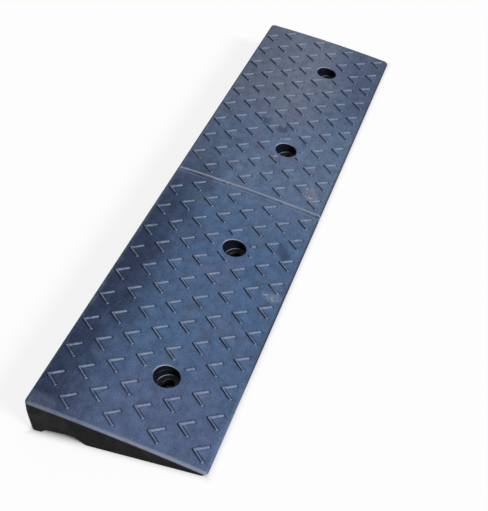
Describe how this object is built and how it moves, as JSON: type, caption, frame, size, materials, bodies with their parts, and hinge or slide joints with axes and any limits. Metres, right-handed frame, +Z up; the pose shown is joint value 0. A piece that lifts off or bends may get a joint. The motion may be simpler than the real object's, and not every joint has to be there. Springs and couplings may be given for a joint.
{
  "type": "rubber kerb ramp",
  "caption": "Low wedge of moulded rubber, butted at a mid joint, that lets wheels climb a kerb; chevron tread, stepped bolt holes with steel washers, drain channel beneath.",
  "frame": {"origin": "on the ground, at the middle of the footprint", "axes": "+X along the kerb, +Y towards the kerb, +Z up; the left half is at -X"},
  "size_m": [1, 0.24, 0.061],
  "materials": {
    "rubber": "matt moulded rubber, dusty blue-grey on top",
    "washer_steel": "dull zinc-plated steel"
  },
  "bodies": {
    "root": {"left_half": "rubber", "right_half": "rubber", "left_outer_washer": "washer_steel", "left_inner_washer": "washer_steel", "right_inner_washer": "washer_steel", "right_outer_washer": "washer_steel"}
  },
  "joints": []
}
